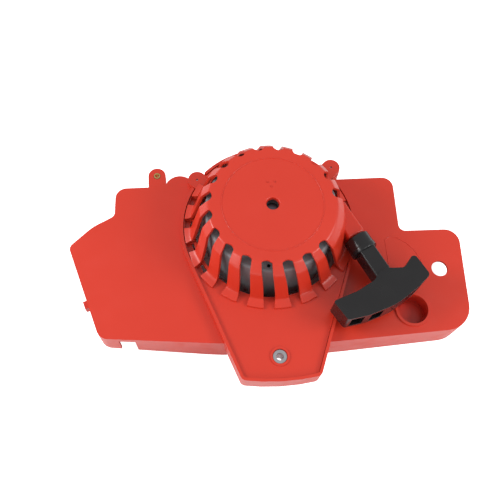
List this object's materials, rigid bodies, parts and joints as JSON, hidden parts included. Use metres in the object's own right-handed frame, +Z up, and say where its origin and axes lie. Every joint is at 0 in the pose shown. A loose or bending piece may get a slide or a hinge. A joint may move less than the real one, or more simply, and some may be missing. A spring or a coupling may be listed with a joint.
{
  "type": "recoil starter",
  "caption": "Pull-rope recoil starter: moulded shroud with two wings, slotted dome cover, steel reel case, sprung rope reel with pawls, and T-shaped pull handle.",
  "frame": {"origin": "middle of the base, on the plane that the shroud's skirt stands on", "axes": "+X along the length from the left wing to the right wing, +Y from the tongue to the rear, +Z up along the reel's axis, away from the engine"},
  "size_m": [0.3512, 0.2194, 0.093],
  "materials": {
    "red_plastic": "injection-moulded, satin gloss",
    "black_plastic": "moulded, glossy",
    "reel_nylon": "glass-filled nylon, matte",
    "case_steel": "pressed sheet, dull grey",
    "zinc_steel": "zinc plated",
    "spring_steel": "blued strip and wire",
    "brass": "machined",
    "bronze": "sintered",
    "rope": "braided nylon"
  },
  "bodies": {
    "housing": {"engine_shroud": "red_plastic", "starter_cover": "red_plastic", "reel_case": "case_steel", "axle_post": "zinc_steel", "spring_cup": "zinc_steel", "recoil_spring": "spring_steel", "rope_eyelet": "zinc_steel", "tongue_sleeve": "zinc_steel", "lug_insert": "brass", "case_screw_1": "zinc_steel", "case_screw_2": "zinc_steel", "case_screw_3": "zinc_steel", "case_screw_4": "zinc_steel", "cover_screw_left": "zinc_steel", "cover_screw_right": "zinc_steel", "thrust_washer": "zinc_steel", "centre_screw": "zinc_steel", "rope_run": "rope"},
    "rotor": {"reel": "reel_nylon", "reel_bush": "bronze", "rope_coil": "rope", "reel_knot": "rope", "pawl_pin_a": "zinc_steel", "pawl_pin_b": "zinc_steel", "pawl_spring_a": "spring_steel", "pawl_spring_b": "spring_steel"},
    "drag_plate": {"friction_plate": "zinc_steel", "friction_spring": "spring_steel"},
    "pawl_a": {"pawl_a": "zinc_steel"},
    "pawl_b": {"pawl_b": "zinc_steel"},
    "handle": {"handle_grip": "black_plastic", "rope_washer": "zinc_steel", "rope_knot": "rope"}
  },
  "joints": [
    {"name": "rotor_spin", "type": "hinge", "parent": "housing", "child": "rotor", "pos_m": [0.0018, 0.03035, 0.062], "axis": [0, 0, -1], "range_deg": [0, 1040], "stiffness_Nm_per_rad": 0.02, "springref_deg": -343.77},
    {"name": "handle_pull", "type": "slide", "parent": "housing", "child": "handle", "axis": [0.4431, -0.8965, 0], "range_m": [0, 0.8]},
    {"name": "plate_lag", "type": "hinge", "parent": "rotor", "child": "drag_plate", "pos_m": [0.0018, 0.03035, 0.045], "axis": [0, 0, 1], "range_deg": [0, 18]},
    {"name": "pawl_a_swing", "type": "hinge", "parent": "rotor", "child": "pawl_a", "pos_m": [0.02881, 0.03035, 0.051], "axis": [0, 0, 1], "range_deg": [0, 28], "stiffness_Nm_per_rad": 0.01},
    {"name": "pawl_b_swing", "type": "hinge", "parent": "rotor", "child": "pawl_b", "pos_m": [-0.02519, 0.03035, 0.051], "axis": [0, 0, 1], "range_deg": [0, 28], "stiffness_Nm_per_rad": 0.01}
  ],
  "couplings": [
    {"joint": "handle_pull", "follows": "rotor_spin", "m_per_rad": 0.044},
    {"joint": "pawl_a_swing", "follows": "plate_lag", "ratio": 1.5556},
    {"joint": "pawl_b_swing", "follows": "plate_lag", "ratio": 1.5556}
  ]
}
